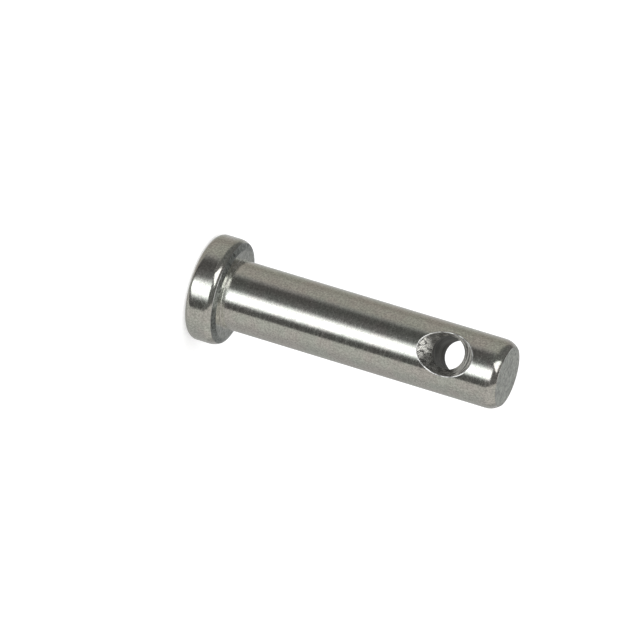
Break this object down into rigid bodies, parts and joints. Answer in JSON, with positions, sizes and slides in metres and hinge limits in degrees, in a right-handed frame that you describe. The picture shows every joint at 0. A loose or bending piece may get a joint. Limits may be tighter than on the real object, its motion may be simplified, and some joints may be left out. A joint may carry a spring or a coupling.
{
  "type": "clevis pin",
  "caption": "Turned clevis pin: a round head with a rounded rim, a plain shank with a rounded tip, and a cross hole near the tip, countersunk on both sides.",
  "frame": {"origin": "centre of the head's flat outer face, on which the pin stands", "axes": "+Z along the shank from the head to the tip; the cross hole runs along Y"},
  "size_m": [0.0092, 0.0092, 0.0276],
  "materials": {
    "stainless_steel": "turned stainless steel, lightly polished, with fine tool marks"
  },
  "bodies": {
    "root": {"clevis_pin": "stainless_steel"}
  },
  "joints": []
}
